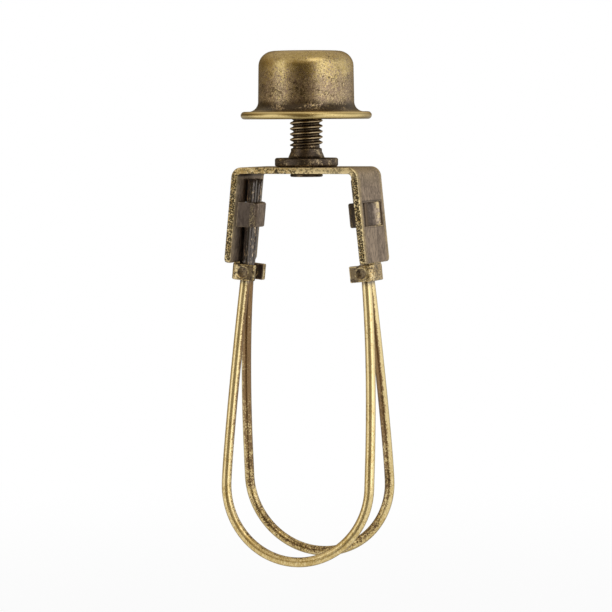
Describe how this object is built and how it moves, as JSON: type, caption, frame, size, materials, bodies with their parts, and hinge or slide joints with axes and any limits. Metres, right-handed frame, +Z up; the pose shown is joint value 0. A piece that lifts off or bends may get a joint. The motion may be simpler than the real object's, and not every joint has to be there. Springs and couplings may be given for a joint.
{
  "type": "clip-on lampshade adapter",
  "caption": "Antique brass adapter that clips on a light bulb with two spring wire loops and carries a lampshade ring under a screw-on cap.",
  "frame": {"origin": "on the stud's axis, at the centre of the arc that ends the two wire loops, which is where the bulb is gripped", "axes": "+Z up along the stud towards the cap, X from leg to leg, -Y towards the front wire loop"},
  "size_m": [0.0296, 0.024, 0.0941],
  "materials": {
    "antique_brass_sheet": "satin",
    "antique_brass_stud": "satin",
    "antique_brass_cap": "satin",
    "antique_brass_wire": "satin"
  },
  "bodies": {
    "bracket": {"bracket": "antique_brass_sheet", "threaded_stud": "antique_brass_stud"},
    "cap_carrier": {"cap_nut": "antique_brass_stud"},
    "cap": {"cap_shell": "antique_brass_cap"},
    "front_loop": {"front_wire_loop": "antique_brass_wire"},
    "back_loop": {"back_wire_loop": "antique_brass_wire"}
  },
  "joints": [
    {"name": "cap_lift", "type": "slide", "parent": "bracket", "child": "cap_carrier", "axis": [0, 0, 1], "range_m": [-0.006, 0.002]},
    {"name": "cap_turn", "type": "hinge", "parent": "cap_carrier", "child": "cap", "pos_m": [0, 0, 0.0675], "axis": [0, 0, 1], "range_deg": [-2160, 720]},
    {"name": "front_loop_spring", "type": "hinge", "parent": "bracket", "child": "front_loop", "pos_m": [0, -0.00095, 0.03718], "axis": [-1, 0, 0], "range_deg": [-6, 15], "stiffness_Nm_per_rad": 8, "deforming": ["front_wire_loop"]},
    {"name": "back_loop_spring", "type": "hinge", "parent": "bracket", "child": "back_loop", "pos_m": [0, 0.00095, 0.03718], "axis": [1, 0, 0], "range_deg": [-6, 15], "stiffness_Nm_per_rad": 8, "deforming": ["back_wire_loop"]}
  ],
  "couplings": [
    {"joint": "cap_turn", "follows": "cap_lift", "rad_per_m": 6283.2}
  ]
}
